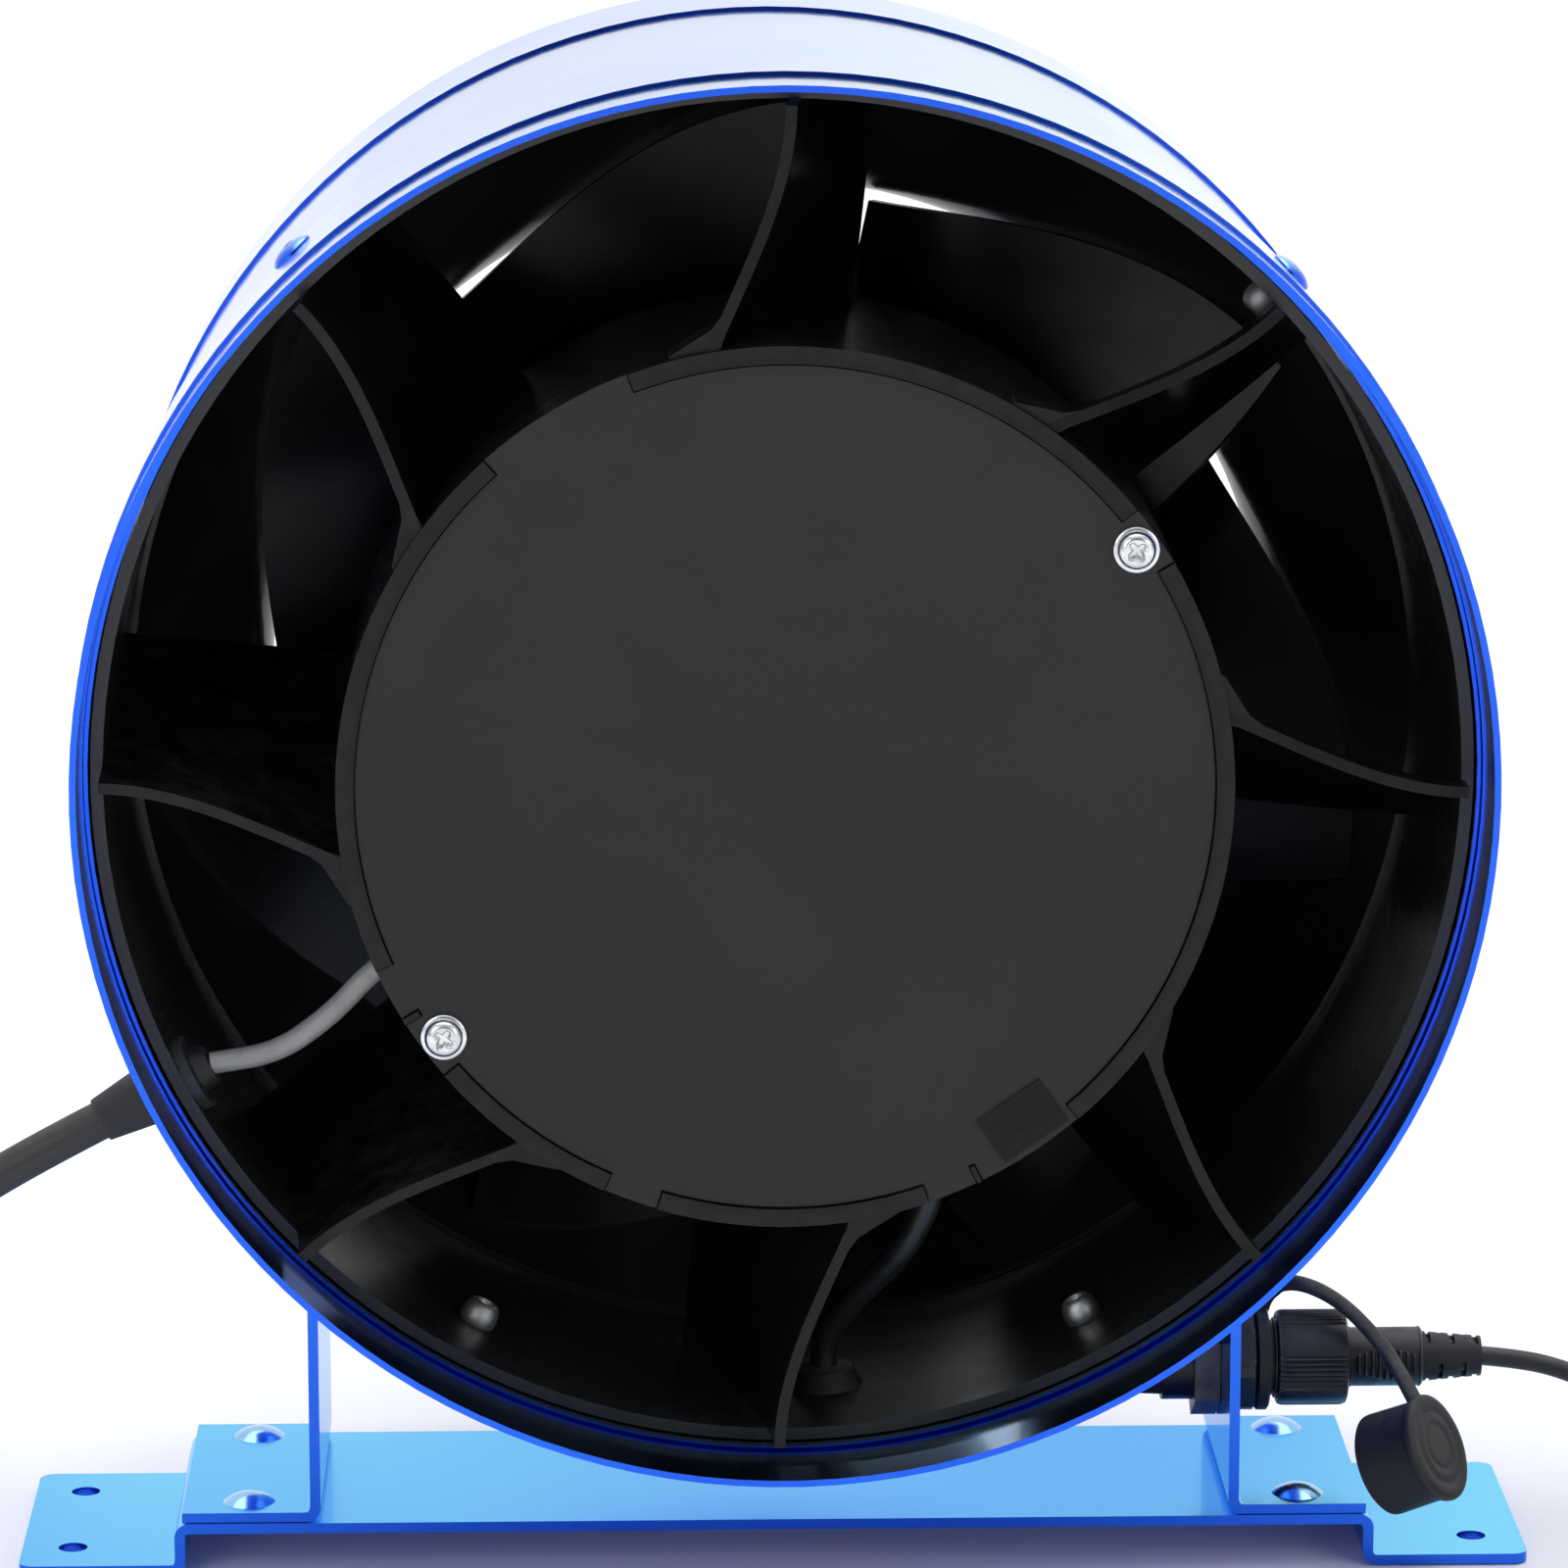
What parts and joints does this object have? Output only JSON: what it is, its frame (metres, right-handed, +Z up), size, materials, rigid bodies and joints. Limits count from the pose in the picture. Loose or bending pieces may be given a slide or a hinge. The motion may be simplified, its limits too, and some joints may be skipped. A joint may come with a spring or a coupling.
{
  "type": "inline duct fan",
  "caption": "Blue round inline duct fan on a riveted bracket, with guide vanes round a covered hub, a mixed-flow impeller behind them, a mains lead and a plug-in speed controller.",
  "frame": {"origin": "on the surface the feet stand on, below the middle of the casing", "axes": "+Y along the duct from the outlet to the inlet, +Z up, +X towards the connector leg"},
  "size_m": [0.5196, 0.178, 0.2945],
  "materials": {
    "blue_casing": "glossy bright blue metallic powder coat",
    "blue_bracket": "glossy blue metallic powder coat",
    "black_moulding": "semi-gloss black moulded plastic",
    "grey_cover": "matte dark grey moulded plastic",
    "bright_zinc": "bright zinc-plated steel",
    "foam_tape": "dark foam tape",
    "cast_aluminium": "as-cast aluminium",
    "bearing_steel": "ground bearing steel",
    "electrical_steel": "varnished electrical steel",
    "enamelled_copper": "enamelled copper wire",
    "ferrite": "dark sintered ferrite",
    "green_board": "green solder mask",
    "white_nylon": "natural nylon",
    "black_rubber": "matte black rubber",
    "black_jacket": "black cable jacket",
    "grey_jacket": "light grey cable jacket",
    "black_nylon": "black glass-filled nylon",
    "plug_plastic": "black moulded vinyl",
    "plug_brass": "nickel-plated brass",
    "controller_plastic": "satin black plastic",
    "pot_metal": "stamped metal"
  },
  "bodies": {
    "casing": {"outlet_collar": "blue_casing", "main_tube": "blue_casing", "base_rail": "blue_bracket", "left_leg": "blue_bracket", "right_leg": "blue_bracket", "base_rivets": "blue_bracket", "leg_tab_rivets": "blue_bracket", "stator_liner": "black_moulding", "inlet_shroud": "black_moulding", "stator_hub": "black_moulding", "guide_vanes": "black_moulding", "hub_cover": "grey_cover", "cover_screws": "bright_zinc", "collar_rivets": "bright_zinc", "motor_screws": "bright_zinc", "cover_seal_tape": "foam_tape", "motor_flange": "cast_aluminium", "board_capacitors": "cast_aluminium", "front_bearing": "bearing_steel", "rear_bearing": "bearing_steel", "lamination_stack": "electrical_steel", "motor_windings": "enamelled_copper", "circuit_board": "green_board", "board_posts": "white_nylon", "power_bushing": "black_rubber", "signal_grommet": "black_rubber", "socket_seal": "black_rubber", "socket_boot": "black_rubber", "plug_relief": "black_rubber", "plug_sleeve": "black_rubber", "controller_relief": "black_rubber", "signal_lead": "black_jacket", "power_cord": "black_jacket", "power_cord_tail": "black_jacket", "power_cord_coil": "black_jacket", "signal_cord": "black_jacket", "signal_cord_tail": "black_jacket", "signal_cord_coil": "black_jacket", "power_lead": "grey_jacket", "panel_socket": "black_nylon", "socket_nut": "black_nylon", "signal_plug": "black_nylon", "mains_plug": "plug_plastic", "plug_pins": "plug_brass", "controller_base": "controller_plastic", "controller_lid": "controller_plastic", "speed_potentiometer": "pot_metal"},
    "impeller": {"impeller_hub": "black_moulding", "impeller_blades": "black_moulding", "impeller_screws": "bright_zinc", "rotor_can": "electrical_steel", "rotor_magnets": "ferrite", "motor_shaft": "bearing_steel", "retaining_ring": "bright_zinc"},
    "coupling_nut": {"coupling_nut": "black_nylon"},
    "dust_cap": {"dust_cap": "black_rubber"},
    "speed_knob": {"speed_knob": "controller_plastic"}
  },
  "joints": [
    {"name": "impeller_spin", "type": "hinge", "parent": "casing", "child": "impeller", "pos_m": [0, 0.02, 0.168], "axis": [0, -1, 0], "continuous": true},
    {"name": "coupling_nut_turn", "type": "hinge", "parent": "casing", "child": "coupling_nut", "pos_m": [0.105, 0.0195, 0.033], "axis": [1, 0, 0], "range_deg": [-540, 0]},
    {"name": "dust_cap_swing", "type": "hinge", "parent": "casing", "child": "dust_cap", "pos_m": [0.0955, 0.0195, 0.033], "axis": [1, 0, 0], "range_deg": [-120, 0]},
    {"name": "speed_knob_turn", "type": "hinge", "parent": "casing", "child": "speed_knob", "pos_m": [0.194, -0.045, 0.03], "axis": [0, 0, 1], "range_deg": [-300, 0]}
  ]
}
